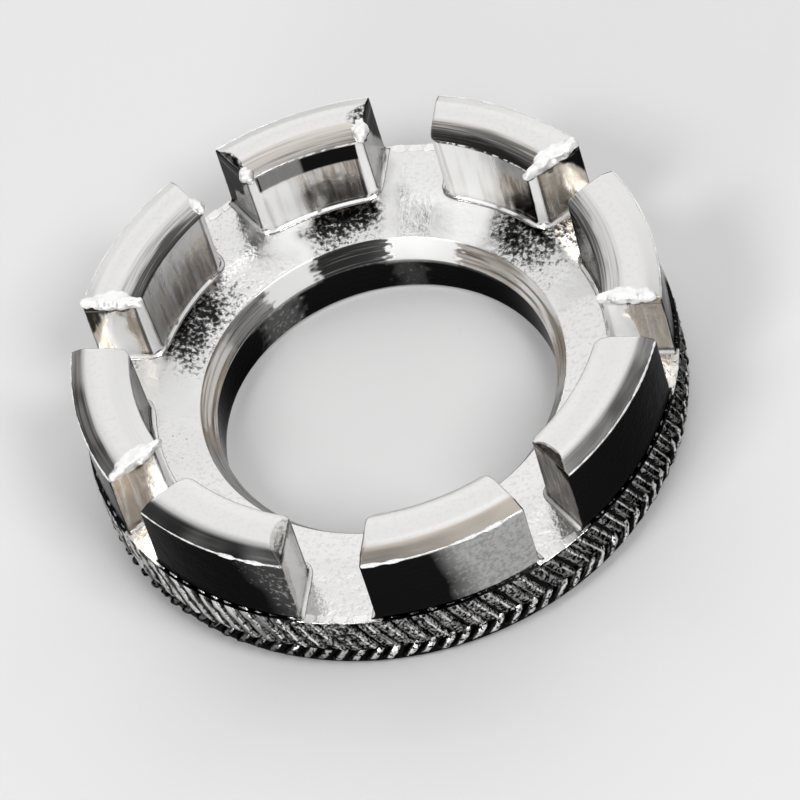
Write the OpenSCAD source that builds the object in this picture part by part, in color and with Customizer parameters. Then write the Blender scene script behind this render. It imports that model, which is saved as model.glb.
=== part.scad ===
// Round eight-slot spoke wrench: one plated casting, shown here in its natural regions.
// The frame stands at the centre of the flat underside, with +Z up through the bore.
// Slot 1 points along +X and the others follow counter-clockwise, every 45 degrees.

/* [Ring] */
// Thickness of the ring, from the underside up to the slot floors
ring_h = 4.6; // [4:0.1:8]
// Radius of the finger bore through the middle
bore_r = 10.3; // [8:0.1:10.6]
// Width of the turned bevel round the top of the bore, measured outwards
lip_w = 0.75; // [0.4:0.05:1.5]
// Height of that bevel
lip_h = 1.15; // [0.5:0.05:1.6]
// Drop of the dished floor from the jaws to the bevel
dish = 0.65; // [0.2:0.05:0.8]
// Small bevel where the bore meets the underside
bore_bevel = 0.3; // [0.1:0.05:0.5]

/* [Grip] */
// Radius over the tips of the knurl
grip_r = 18; // [17.9:0.05:20]
// Depth of the knurl's grooves
knurl_depth = 0.45; // [0.2:0.05:0.5]
// Number of ridges around the grip
ridges = 108; // [60:1:140]
// Height of the lower row of ridges
low_row_h = 1.5; // [1:0.1:2.2]
// Slant of the upper row from upright, in degrees
high_slant = 27; // [10:1:40]
// Slant of the lower row from upright, in degrees
low_slant = 36; // [10:1:40]
// Share of each ridge's pitch that is its flat top
crest = 0.34; // [0.2:0.01:0.6]
// Height of the bevelled foot under the knurl
foot_h = 0.4; // [0.2:0.05:1]
// Wall left in the grip behind the knurl's grooves
grip_wall = 0.3; // [0.3:0.05:0.6]

/* [Jaws] */
// Height of the jaws above the slot floors
jaw_h = 5.4; // [4:0.1:8]
// Step in from the tips of the knurl to the jaws' outer wall
jaw_step = 0.3; // [0.1:0.05:0.7]
// Thickness of a jaw at its foot, from its outer wall to its inner wall
jaw_t = 3.75; // [3.2:0.05:4.8]
// Draft of the cast walls, in degrees
draft = 1; // [0:0.5:3]
// Width of the crown's outer bevel
out_bevel_w = 1; // [0.5:0.05:1.4]
// Height of the crown's outer bevel
out_bevel_h = 0.44; // [0.2:0.02:0.8]
// Width of the crown's inner bevel
in_bevel_w = 1.5; // [0.8:0.05:1.6]
// Height of the crown's inner bevel
in_bevel_h = 0.4; // [0.2:0.02:0.8]
// Bevel along the top of each slot face
end_bevel = 0.55; // [0.2:0.05:0.8]
// Bevel on the upright inner corner of each slot
corner_bevel = 0.5; // [0.2:0.05:0.9]
// Radius of the cast fillet round the foot of each jaw
foot_fillet = 0.45; // [0.2:0.05:0.6]

/* [Slots] */
// Width of slot 1
slot_1_w = 3; // [2.6:0.05:4.6]
// Width of slot 2
slot_2_w = 3.3; // [2.6:0.05:4.6]
// Width of slot 3
slot_3_w = 4.3; // [4.3:0.05:4.9]
// Width of slot 4
slot_4_w = 3.35; // [2.6:0.05:4.6]
// Width of slot 5
slot_5_w = 3.5; // [2.6:0.05:4.6]
// Width of slot 6
slot_6_w = 3.15; // [2.6:0.05:4.6]
// Width of slot 7
slot_7_w = 4.5; // [4.3:0.05:4.9]
// Width of slot 8
slot_8_w = 3.2; // [2.6:0.05:4.6]

/* [Hidden] */
$fn = 96;
slots = [slot_1_w, slot_2_w, slot_3_w, slot_4_w, slot_5_w, slot_6_w, slot_7_w, slot_8_w];
slot_step = 360 / len(slots);
plate = [0.80, 0.80, 0.79];
// The grip band is a sleeve round the ring, from the bevelled foot up to the slot floors
grip_root_r = grip_r - knurl_depth;
sleeve_r = grip_root_r - grip_wall;
jaw_out_r = grip_r - jaw_step;
jaw_in_r = jaw_out_r - jaw_t;
// Draft moves each wall by this much over the height of the jaw
lean = jaw_h * tan(draft);
// Far enough to clear the outside of the ring on any side
reach = 2 * grip_r;
fillet_steps = 5;
// Points across one ridge: two grooved flanks and a flat crest between them
ridge_marks = [0, 0.5 - crest / 2, 0.5 + crest / 2];
// The two rows of ridges are rolled half a pitch out of step, across a thin seam
row_seam = 0.12;

// Ring with its bore, turned bevel, dished floor and bevelled foot
module base_ring() {
    floor_in_r = jaw_in_r - foot_fillet;
    lip_top = ring_h - dish;
    color(plate)
    rotate_extrude()
    polygon([
        [bore_r + bore_bevel, 0],
        [grip_root_r - foot_h, 0],
        [grip_root_r, foot_h],
        [sleeve_r, foot_h],
        [sleeve_r, ring_h],
        [floor_in_r, ring_h],
        [bore_r + lip_w, lip_top],
        [bore_r, lip_top - lip_h],
        [bore_r, bore_bevel]
    ]);
}

// Turn of a ridge, in degrees, that a row of one height and slant gives at the grip
function row_turn(height, slant) = height * tan(slant) / grip_r * 180 / PI;

// Herringbone grip: two rows of slanted ridges that meet in chevrons, as a sleeve on the ring
module knurled_grip() {
    pitch = 360 / ridges;
    marks = len(ridge_marks);
    seam_z = foot_h + low_row_h;
    high_h = ring_h - seam_z - row_seam;
    levels = [
        [foot_h, -row_turn(low_row_h, low_slant)],
        [seam_z, 0],
        [seam_z + row_seam, pitch / 2],
        [ring_h, pitch / 2 - row_turn(high_h, high_slant)]
    ];
    last = len(levels) - 1;
    // Round the grip once, at one level: a point for each mark of each ridge
    n = ridges * marks;
    outside = [
        for (level = levels) for (i = [0:ridges - 1]) for (m = [0:marks - 1])
            on_ring(m == 0 ? grip_root_r : grip_r, (i + ridge_marks[m]) * pitch + level[1], level[0])
    ];
    inside = [
        for (level = [levels[0], levels[last]]) for (i = [0:ridges - 1]) for (m = [0:marks - 1])
            on_ring(sleeve_r, (i + ridge_marks[m]) * pitch + level[1], level[0])
    ];
    bore = (last + 1) * n;
    color(plate)
    polyhedron(concat(outside, inside), [
        for (i = [0:n - 1])
            let (j = (i + 1) % n) each concat(
                [for (row = [0:last - 1]) each wall_facets(row * n + i, row * n + j, n)],
                wall_facets(bore + j, bore + i, n),
                [[i, j, bore + j, bore + i]],
                [[bore + n + i, bore + n + j, last * n + j, last * n + i]]
            )
    ]);
}

// A point at radius r, angle a and height z
function on_ring(r, a, z) = [r * cos(a), r * sin(a), z];

// Two triangles between points a and b and the points n further on, above them
function wall_facets(a, b, n) = [[a, a + n, b + n], [a, b + n, b]];

// Hollow quarter round at a wall's foot, from the floor up to the wall at distance x
function foot_cove(x) = [
    for (i = [0:fillet_steps])
        let (a = 90 * i / fillet_steps)
            [x - foot_fillet + foot_fillet * sin(a), foot_fillet * (1 - cos(a))]
];

// Cross-section of the ring of jaws, from the bore side out, above the slot floors
module jaw_section() {
    in_top_r = jaw_in_r + lean;
    out_top_r = jaw_out_r - lean;
    polygon(concat(foot_cove(jaw_in_r), [
        [in_top_r, jaw_h - in_bevel_h],
        [in_top_r + in_bevel_w, jaw_h],
        [out_top_r - out_bevel_w, jaw_h],
        [out_top_r, jaw_h - out_bevel_h],
        [jaw_out_r, 0]
    ]));
}

// Everything behind a straight upright face at distance x, with its cast foot and top bevel
module behind_face(x, top_bevel) {
    rotate([90, 0, 90])
    linear_extrude(height = reach, center = true)
    polygon(concat(foot_cove(x), [
        [x, jaw_h - top_bevel],
        [x + top_bevel, jaw_h],
        [x + top_bevel, jaw_h + 1],
        [reach, jaw_h + 1],
        [reach, 0]
    ]));
}

// What a slot of width w leaves of the jaw on its counter-clockwise side
module slot_side(w) {
    corner_x = sqrt(pow(jaw_in_r, 2) - pow(w / 2, 2));
    intersection() {
        behind_face(w / 2, end_bevel);
        translate([corner_x + corner_bevel / 2, w / 2 + corner_bevel / 2, 0])
            rotate([0, 0, -45])
            behind_face(0, 0);
    }
}

// One jaw, between slot k and the next slot
module jaw(k) {
    w_here = slots[k - 1];
    w_next = slots[k % len(slots)];
    color(plate)
    translate([0, 0, ring_h])
    rotate([0, 0, (k - 1) * slot_step])
    intersection() {
        rotate_extrude(angle = slot_step) jaw_section();
        slot_side(w_here);
        rotate([0, 0, slot_step]) mirror([0, 1, 0]) slot_side(w_next);
    }
}

base_ring();
knurled_grip();
jaw(1);  // jaw_1
jaw(2);  // jaw_2
jaw(3);  // jaw_3
jaw(4);  // jaw_4
jaw(5);  // jaw_5
jaw(6);  // jaw_6
jaw(7);  // jaw_7
jaw(8);  // jaw_8
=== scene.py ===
"""Round eight-slot spoke wrench: a plated casting with eight jaws, a turned bore and a herringbone grip.

The settings are in metres, as the scene is. The shape functions below them work in millimetres,
with +Z up through the bore and slot 1 along +X, and each mesh is scaled to metres when it is made.
"""

import math
from collections import namedtuple

import bpy
import numpy as np
from bpy.props import FloatProperty, FloatVectorProperty, IntProperty
from mathutils import Matrix, Vector


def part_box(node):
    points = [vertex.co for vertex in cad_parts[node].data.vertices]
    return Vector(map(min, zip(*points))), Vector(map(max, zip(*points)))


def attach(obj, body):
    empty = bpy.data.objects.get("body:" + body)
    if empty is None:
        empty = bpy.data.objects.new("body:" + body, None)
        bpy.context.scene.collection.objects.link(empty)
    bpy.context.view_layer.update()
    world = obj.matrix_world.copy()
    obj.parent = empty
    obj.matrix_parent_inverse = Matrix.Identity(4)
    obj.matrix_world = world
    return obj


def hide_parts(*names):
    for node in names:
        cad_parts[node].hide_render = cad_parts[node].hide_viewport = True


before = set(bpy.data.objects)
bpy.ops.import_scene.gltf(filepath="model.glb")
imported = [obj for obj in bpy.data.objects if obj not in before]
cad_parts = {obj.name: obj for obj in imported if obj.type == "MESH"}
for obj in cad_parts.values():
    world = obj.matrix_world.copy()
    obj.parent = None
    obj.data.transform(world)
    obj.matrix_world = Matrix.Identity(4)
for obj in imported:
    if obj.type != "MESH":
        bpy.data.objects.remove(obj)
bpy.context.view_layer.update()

bl_info = {
    "name": "Spoke Wrench",
    "version": (1, 0, 0),
    "blender": (4, 5, 0),
    "location": "3D View > Sidebar > Wrench",
    "description": "Builds a cast eight-slot spoke wrench with its plating, grip and studio",
    "category": "Add Mesh",
}

MM = 0.001
SLOTS = 8
SLOT_STEP = math.tau / SLOTS

GRIP_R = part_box("knurled_grip")[1].x
RING_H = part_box("knurled_grip")[1].z
CROWN_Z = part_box("jaw_1")[1].z
SEAM_Z = 0.00192


# Settings, in metres

class RingSettings(bpy.types.PropertyGroup):
    bore_r: FloatProperty(
        name="Bore radius", description="Radius of the finger bore", default=0.0103, unit="LENGTH")
    lip_w: FloatProperty(
        name="Lip width", description="Width of the turned bevel round the bore", default=0.00075,
        unit="LENGTH")
    lip_h: FloatProperty(
        name="Lip height", description="Height of the turned bevel", default=0.00115, unit="LENGTH")
    dish: FloatProperty(
        name="Dish", description="Drop of the floor from the jaws to the bevel", default=0.00065,
        unit="LENGTH")
    height: FloatProperty(
        name="Ring height", description="Underside to the slot floors", default=RING_H, unit="LENGTH")
    root_r: FloatProperty(
        name="Root radius", description="Radius at the bottom of the grip's grooves",
        default=GRIP_R - 0.00038, unit="LENGTH")
    foot_h: FloatProperty(
        name="Foot height", description="Bevel under the grip", default=0.0004, unit="LENGTH")
    peel: FloatProperty(
        name="Cast unevenness", description="Depth of the waves in the cast faces",
        default=0.000022, precision=6, unit="LENGTH")


class JawSettings(bpy.types.PropertyGroup):
    slot_widths: FloatVectorProperty(
        name="Slot widths", description="Width of slots 1 to 8", size=SLOTS, unit="LENGTH",
        default=(0.003, 0.0033, 0.0043, 0.00335, 0.0035, 0.00315, 0.0045, 0.0032))
    out_r: FloatProperty(
        name="Outer radius", description="Outer wall at its foot", default=GRIP_R - 0.0003, unit="LENGTH")
    thickness: FloatProperty(
        name="Thickness", description="Jaw thickness at its foot", default=0.00375, unit="LENGTH")
    crown_z: FloatProperty(
        name="Crown height", description="Underside to the flat crown", default=CROWN_Z, unit="LENGTH")
    draft: FloatProperty(
        name="Draft", description="Draft of the cast walls", default=math.radians(1), subtype="ANGLE")
    out_bevel_w: FloatProperty(
        name="Outer bevel width", description="Crown's outer bevel", default=0.001, unit="LENGTH")
    out_bevel_h: FloatProperty(
        name="Outer bevel height", description="Crown's outer bevel", default=0.00044, unit="LENGTH")
    in_bevel_w: FloatProperty(
        name="Inner bevel width", description="Crown's inner bevel", default=0.0015, unit="LENGTH")
    in_bevel_h: FloatProperty(
        name="Inner bevel height", description="Crown's inner bevel", default=0.0004, unit="LENGTH")
    corner_bevel: FloatProperty(
        name="Corner bevel", description="Bevel on the upright inner corners", default=0.00036,
        unit="LENGTH")
    foot_fillet: FloatProperty(
        name="Foot fillet", description="Radius of the cast fillet at the foot", default=0.00038,
        unit="LENGTH")
    edge_round: FloatProperty(
        name="Edge round", description="Radius left on the cast edges", default=0.00007, unit="LENGTH")


class GripSettings(bpy.types.PropertyGroup):
    ridges: IntProperty(name="Ridges", description="Ridges in each row round the grip", default=108)
    tip_r: FloatProperty(
        name="Tip radius", description="Radius over the ridges", default=GRIP_R, unit="LENGTH")
    seam_z: FloatProperty(
        name="Seam height", description="Height where the two rows meet", default=SEAM_Z, unit="LENGTH")
    high_slant: FloatProperty(
        name="Upper slant", description="Slant of the upper row", default=math.radians(27),
        subtype="ANGLE")
    low_slant: FloatProperty(
        name="Lower slant", description="Slant of the lower row", default=math.radians(36),
        subtype="ANGLE")
    climb: FloatProperty(
        name="Climb", description="How far the ridges run up a jaw's wall", default=0.00028,
        unit="LENGTH")
    seed: IntProperty(name="Seed", description="Seed of the ridges' small differences", default=7)


class FinishSettings(bpy.types.PropertyGroup):
    plating: FloatVectorProperty(
        name="Plating", description="Colour of the bright plating", subtype="COLOR", size=3,
        default=(0.76, 0.755, 0.745))
    # Painted shade and dark reflections: this colour stands in for the dark that the upright outer faces and
    # the grip reflect, and for the painted shade elsewhere on the casting
    painted_shade_colour: FloatVectorProperty(
        name="Dark plating", description="Colour of the dark plating on the upright outer faces",
        subtype="COLOR", size=3, default=(0.009, 0.009, 0.009))
    tan_plating: FloatVectorProperty(
        name="Tan plating", description="Warm tint in the corners", subtype="COLOR", size=3,
        default=(0.62, 0.54, 0.455))
    brown_plating: FloatVectorProperty(
        name="Brown plating", description="Deeper tint on the slot faces", subtype="COLOR", size=3,
        default=(0.46, 0.365, 0.27))


class StudioSettings(bpy.types.PropertyGroup):
    aim: FloatVectorProperty(
        name="Aim", description="Point that the camera looks at", size=3, unit="LENGTH", precision=5,
        default=(0.001589, -0.002173, 0.005))
    azimuth: FloatProperty(
        name="Azimuth", description="Camera's direction from the wrench, from +X",
        default=math.radians(-68.009), subtype="ANGLE")
    elevation: FloatProperty(
        name="Elevation", description="Camera above the floor", default=math.radians(50.4),
        subtype="ANGLE")
    distance: FloatProperty(
        name="Distance", description="Camera to the aim point", default=0.294, unit="LENGTH")
    roll: FloatProperty(
        name="Roll", description="Camera's roll about its view", default=math.radians(-18.05),
        subtype="ANGLE")
    lens: FloatProperty(
        name="Lens", description="Focal length, for a 36 mm wide sensor", default=225.05, unit="CAMERA")
    floor: FloatVectorProperty(
        name="Floor", description="Colour of the floor", subtype="COLOR", size=3,
        default=(0.80, 0.80, 0.80))
    sky: FloatProperty(name="Sky", description="Brightness of the room near the horizon", default=0.30)
    sky_top: FloatProperty(name="Sky top", description="Brightness of the room overhead", default=0.06)


def millimetres(group):
    """The group's lengths in millimetres and its other values as they are."""
    out = {}
    for name, prop in group.bl_rna.properties.items():
        if name in ("rna_type", "name"):
            continue
        value = getattr(group, name)
        if getattr(prop, "unit", "NONE") == "LENGTH":
            value = [v / MM for v in value] if prop.is_array else value / MM
        out[name] = value
    return type("Sizes", (), out)


# Shapes, in millimetres. Every cast piece carries its look as attributes: how dark it is painted, for
# painted shade and dark reflections, and how warm its plating is, where it is painted white, for painted
# highlights and reflections, whether the face is turned on a lathe or stands upright, and how far the
# painted dark breaks up.
LOOKS = ("dark", "warm", "bare_metal", "turned", "upright", "broken")


def ramp(x, start, end):
    """Smooth step from 0 at start to 1 at end."""
    t = np.clip((x - start) / (end - start), 0, 1)
    return t * t * (3 - 2 * t)


def window(x, start, stop, soft):
    """1 between start and stop, and 0 outside, with soft ends."""
    return ramp(x, start - soft, start + soft) * ramp(x, stop + soft, stop - soft)


def patches(turn, rows):
    """Sum of windows round the ring. A row is a strength, then the degrees where it starts and stops and
    how soft its ends are."""
    return sum(strength * window(turn, *reach) for strength, *reach in rows)


def grain(points, size, seed):
    """Smooth seeded noise from -1 to 1, whose lumps are about size across."""
    table = np.random.RandomState(seed).uniform(-1, 1, (32, 32, 32))
    cell = np.asarray(points, float) / size
    low = np.floor(cell).astype(int)
    t = cell - low
    t = t * t * (3 - 2 * t)
    total = 0
    for corner in np.ndindex(2, 2, 2):
        index = (low + corner) % 32
        weight = np.prod(np.where(corner, t, 1 - t), axis=-1)
        total = total + weight * table[index[..., 0], index[..., 1], index[..., 2]]
    return total


def round_meet(a, b, radius):
    """Distance to what two solids share, with a round edge. Distances are negative inside."""
    u, v = np.maximum(radius + a, 0), np.maximum(radius + b, 0)
    return np.minimum(-radius, np.maximum(a, b)) + np.hypot(u, v)


def round_join(a, b, radius):
    """Distance to two solids together, with a hollow fillet between them."""
    u, v = np.maximum(radius - a, 0), np.maximum(radius - b, 0)
    return np.maximum(radius, np.minimum(a, b)) - np.hypot(u, v)


def under_line(r, z, r0, z0, r1, z1):
    """Distance above the sloping line from (r0, z0) to (r1, z1), with r0 < r1; negative below it."""
    return ((z - z0) * (r1 - r0) - (r - r0) * (z1 - z0)) / math.hypot(r1 - r0, z1 - z0)


def past_slots(turn, r, jaws):
    """How far points at a turn and a radius lie outside the nearest slot."""
    slot = np.round(turn / SLOT_STEP).astype(int)
    return np.abs(np.sin(turn - slot * SLOT_STEP)) * r - np.array(jaws.slot_widths)[slot % SLOTS] / 2


def jaw_turns(jaw, r, jaws, clear=0.0):
    """Turns at which a jaw starts and stops at radius r, that far clear of its two slots."""
    first, last = (np.arcsin((jaws.slot_widths[slot % SLOTS] / 2 + clear) / r) for slot in (jaw - 1, jaw))
    return (jaw - 1) * SLOT_STEP + first, jaw * SLOT_STEP - last


def fill_pinches(distance):
    """Adds a sliver of metal where the skin would pinch itself between four cells of the grid."""
    sliver = -0.001
    for a, b in ((0, 1), (0, 2), (1, 2)):
        corner = {}
        for steps in np.ndindex(2, 2):
            take = [slice(None)] * 3
            for axis, step in zip((a, b), steps):
                take[axis] = slice(step, distance.shape[axis] - 1 + step)
            corner[steps] = distance[tuple(take)]
        first, second = corner[0, 0] < 0, corner[0, 1] < 0
        pinched = (first != second) & (first == (corner[1, 1] < 0)) & (second == (corner[1, 0] < 0))
        corner[0, 0][pinched & ~first] = sliver
        corner[0, 1][pinched & ~second] = sliver


def wrap_cells(points, distance):
    """Closed skin of quads round the points of a 3-D grid whose distance is negative."""
    for _ in range(3):
        fill_pinches(distance)
    inside = distance < 0
    shape = np.array(inside.shape)
    cells = shape - 1
    total = np.zeros((*cells, 3))
    count = np.zeros(cells)
    for axis in range(3):
        side = [1 if a == axis else 0 for a in range(3)]
        near = tuple(slice(0, n - s) for n, s in zip(shape, side))
        far = tuple(slice(s, n) for n, s in zip(shape, side))
        crossed = inside[near] != inside[far]
        gap = np.where(crossed, distance[near] - distance[far], 1.0)
        t = np.where(crossed, distance[near] / gap, 0.0)[..., None]
        hit = points[near] * (1 - t) + points[far] * t
        others = [a for a in range(3) if a != axis]
        for back in np.ndindex(2, 2):
            take = [slice(None)] * 3
            for a, b in zip(others, back):
                take[a] = slice(b, shape[a] - 1 + b)
            part = crossed[tuple(take)]
            total += hit[tuple(take)] * part[..., None]
            count += part
    used = count > 0
    number = np.full(cells, -1)
    number[used] = np.arange(used.sum())
    corners = total[used] / count[used][:, None]
    quads = []
    for axis in range(3):
        b, c = (axis + 1) % 3, (axis + 2) % 3
        near = [slice(1, n - 1) for n in shape]
        near[axis] = slice(0, shape[axis] - 1)
        far = list(near)
        far[axis] = slice(1, shape[axis])
        here, there = inside[tuple(near)], inside[tuple(far)]
        spots = np.argwhere(here != there)
        leaving = here[tuple(spots.T)]
        base = spots.copy()
        base[:, [b, c]] += 1
        ring = []
        for step_b, step_c in ((1, 1), (0, 1), (0, 0), (1, 0)):
            at = base.copy()
            at[:, b] -= step_b
            at[:, c] -= step_c
            ring.append(number[tuple(at.T)])
        ring = np.array(ring).T
        ring[~leaving] = ring[~leaving][:, ::-1]
        quads.append(ring)
    return corners, np.concatenate(quads)


def place_object(name, data):
    """A new object in the scene, at the origin."""
    placed = bpy.data.objects.new(name, data)
    bpy.context.scene.collection.objects.link(placed)
    return placed


def store_values(mesh, name, values):
    """Stores one value for each of the mesh's points, under that name."""
    mesh.attributes.new(name, "FLOAT", "POINT").data.foreach_set("value", np.asarray(values, np.float32))


def make_piece(name, corners, faces, material, look):
    """A smooth-shaded object of that name, from corners in millimetres, with its look as attributes."""
    mesh = bpy.data.meshes.new(name)
    corners = np.asarray(corners, float) * MM
    faces = np.asarray(faces)
    mesh.vertices.add(len(corners))
    mesh.vertices.foreach_set("co", corners.astype(np.float32).ravel())
    mesh.loops.add(faces.size)
    mesh.loops.foreach_set("vertex_index", faces.astype(np.int32).ravel())
    mesh.polygons.add(len(faces))
    mesh.polygons.foreach_set("loop_start", np.arange(len(faces), dtype=np.int32) * faces.shape[1])
    for label, values in look.items():
        store_values(mesh, label, values)
    mesh.update(calc_edges=True)
    mesh.validate()
    mesh.shade_smooth()
    mesh.materials.append(material)
    return place_object(name, mesh)


def seat(piece, *nodes):
    """Puts a finished piece on the wrench, in place of the nodes it stands for."""
    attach(piece, "root")
    if nodes:
        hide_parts(*nodes)


# Ring

def ring_profile(ring, jaw_in_r, foot_fillet):
    """Closed cross-section of the ring, with round corners, as points at even steps."""
    lip_z = ring.height - ring.dish
    # Each corner's radius and height, how far back its rounding starts, and the step to the next corner
    shape = [
        (ring.bore_r + 0.3, 0, 0.08, 1.2),
        (ring.root_r - ring.foot_h, 0, 0.08, 0.2),
        (ring.root_r, ring.foot_h, 0.08, 0.6),
        (ring.root_r, ring.height - 0.30, 0.05, 0.2),
        (ring.root_r + 0.30, ring.height - 0.06, 0.03, 0.1),
        (ring.root_r + 0.26, ring.height, 0.05, 0.12),
        (jaw_in_r - foot_fillet, ring.height, 0.8, 0.12),
        (ring.bore_r + ring.lip_w, lip_z, 0.05, 0.06),
        (ring.bore_r, lip_z - ring.lip_h, 0.05, 0.3),
        (ring.bore_r, 0.3, 0.08, 0.2),
    ]
    points = []
    for i, (r, z, radius, step) in enumerate(shape):
        beyond = shape[(i + 1) % len(shape)]
        here = np.array([r, z])
        before, after = np.array(shape[i - 1][:2]) - here, np.array(beyond[:2]) - here
        before, after = before / np.linalg.norm(before), after / np.linalg.norm(after)
        start, end = here + before * radius, here + after * radius
        for t in np.linspace(0, 1, 5):
            points.append((1 - t) ** 2 * start + 2 * t * (1 - t) * here + t * t * end)
        stop = np.array(beyond[:2]) - after * beyond[2]
        pieces = max(1, round(np.linalg.norm(stop - end) / step))
        points += [end + (stop - end) * t for t in np.arange(1, pieces) / pieces]
    return np.array(points)


# Painted reflections of the back jaws on the floor: dark in front of each, and white beside that
FLOOR_DARK = ((0.70, 46, 64, 9), (0.80, 101, 118, 6), (0.76, 146, 174, 10), (0.08, 196, 210, 6),
              (0.20, 34, 40, 4))
FLOOR_WHITE = ((0.90, 66, 80, 6), (0.25, 80, 97, 3), (1.00, 119, 127, 4), (0.90, 176, 193, 7),
               (0.70, 26, 33, 4))
# A painted highlight line across the floor
FLOOR_LINE = ((0.50, 94, 98, 1.5),)
# Painted glints: white specks on the floor near the jaws' feet
FLOOR_GLINTS = ((1.00, 79, 101, 2), (1.00, 126, 144, 2))
# Painted dark and white reflections on the turned bevel round the bore: what shows all along it, and what
# shows in its turned bands
LIP_DARK = ((0.84, 97, 121, 1), (0.12, 141, 160, 2), (0.22, 201, 357, 4))
LIP_DARK_BANDS = ((0.50, 141, 160, 2), (0.50, 3, 22, 4), (0.24, 22, 48, 4), (0.50, 48, 71, 4),
                  (0.42, 160, 200, 3), (0.34, 201, 357, 4))
LIP_WHITE = ((1.00, 72, 96, 1), (1.00, 122, 140, 1))
LIP_WHITE_BANDS = ((0.90, 22, 48, 5), (0.40, 48, 71, 5), (0.70, 162, 196, 4))
LIP_WARM = ((1.00, 165, 205, 8), (1.00, 5, 72, 8))
# Lighter painted reflection streaks in the bore's painted shade
BORE_LIT_STREAKS = ((0.45, 128, 150, 8), (0.35, 82, 100, 8))


def ring_look(points, ring, jaws):
    """How the plating of the ring, with its painted shade, highlights and reflections, looks at points: see
    LOOKS.
    """
    r, z = np.hypot(points[..., 0], points[..., 1]), points[..., 2]
    angle = np.arctan2(points[..., 1], points[..., 0]) % math.tau
    turn = np.degrees(angle)
    lip_r, lip_z = ring.bore_r + ring.lip_w, ring.height - ring.dish
    lip_foot = lip_z - ring.lip_h
    on_lip = ramp(r, lip_r + 0.06, lip_r) * ramp(z, lip_foot - 0.08, lip_foot)
    in_bore = ramp(r, ring.bore_r + 0.05, ring.bore_r) * ramp(z, lip_foot, lip_foot - 0.08)
    on_floor = (1 - on_lip) * ramp(z, lip_z - 0.05, lip_z) * ramp(r, lip_r, lip_r + 0.05)
    foot_r = ring.root_r - ring.foot_h
    # The ring's outer faces and underside, which are painted dark for their dark reflection
    outside = np.maximum.reduce([
        ramp(r, ring.root_r - 0.15, ring.root_r - 0.05) * ramp(z, ring.height - 0.02, ring.height - 0.08),
        ramp(r, jaws.out_r - 0.1, jaws.out_r) * ramp(past_slots(angle, r, jaws), 0.1, 0.3),
        ramp(z, ring.foot_h, 0.1) * ramp(r, foot_r - 0.1, foot_r)])

    sway = turn + 4 * grain(points, 1.1, 3)
    fade = 0.45 + 0.55 * ramp(r + 0.5 * grain(points, 0.8, 6), lip_r, lip_r + 1.6)
    # Painted glints: white specks on the floor near the jaws
    glints = ramp(grain(points, 0.45, 5), -0.1, 0.25) * ramp(r, jaws.out_r - 0.8, jaws.out_r - 0.3)
    white = patches(sway, FLOOR_WHITE) + patches(turn, FLOOR_LINE) + glints * patches(turn, FLOOR_GLINTS)
    lines = np.stack([r + 0.6 * z, 4 * np.cos(angle), 4 * np.sin(angle)], axis=-1)
    turn = turn + 3 * grain(lines, 0.12, 9)
    bands = 0.5 + 0.5 * grain(lines * (1, 0.1, 0.1), 0.13, 14)
    # Painted dark and white reflections on the turned lip
    lip_dark = patches(turn, LIP_DARK) + bands * patches(turn, LIP_DARK_BANDS)
    lip_white = patches(turn, LIP_WHITE) + ramp(bands, 0.72, 0.40) * patches(turn, LIP_WHITE_BANDS)
    return {
        # Painted dark: reflections on the floor and lip, painted shade in the bore with lighter painted
        # streaks, and dark reflections on the outer faces
        "dark": np.maximum.reduce([
            patches(sway, FLOOR_DARK) * fade * on_floor, lip_dark * on_lip,
            (1.25 - patches(turn, BORE_LIT_STREAKS)) * in_bore, 1.25 * outside]),
        "warm": on_lip * patches(turn, LIP_WARM),
        "bare_metal": np.clip(white * on_floor + lip_white * on_lip, 0, 1),
        "turned": on_lip,
        "upright": 0 * r,
        "broken": 0.95 * on_floor + 0.5 * on_lip + 0.3 * in_bore,
    }


def build_ring(ring, jaws, material):
    """The ring, turned from its profile, with a slightly uneven cast floor."""
    profile = ring_profile(ring, jaws.out_r - jaws.thickness, jaws.foot_fillet)
    segments, marks = 720, len(profile)
    turn = np.arange(segments) / segments * math.tau
    r, z = profile.T
    corners = np.stack([
        np.outer(np.cos(turn), r), np.outer(np.sin(turn), r), np.tile(z, (segments, 1))], axis=-1)
    on_floor = ramp(z, ring.height - ring.dish - 0.1, ring.height - ring.dish + 0.1)
    on_floor = on_floor * ramp(r, ring.bore_r + ring.lip_w, ring.bore_r + ring.lip_w + 0.4)
    waves = grain(corners, 0.9, 11) * 0.6 + grain(corners, 0.42, 12) * 0.4
    corners[..., 2] += (waves - 0.8) * ring.peel * on_floor
    i, j = np.meshgrid(np.arange(segments), np.arange(marks), indexing="ij")
    i2, j2 = (i + 1) % segments, (j + 1) % marks
    faces = np.stack([a * marks + b for a, b in ((i, j), (i2, j), (i2, j2), (i, j2))], axis=-1)
    corners = corners.reshape(-1, 3)
    return make_piece(
        "ring_casting", corners, faces.reshape(-1, 4), material, ring_look(corners, ring, jaws))


# Jaws

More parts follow.
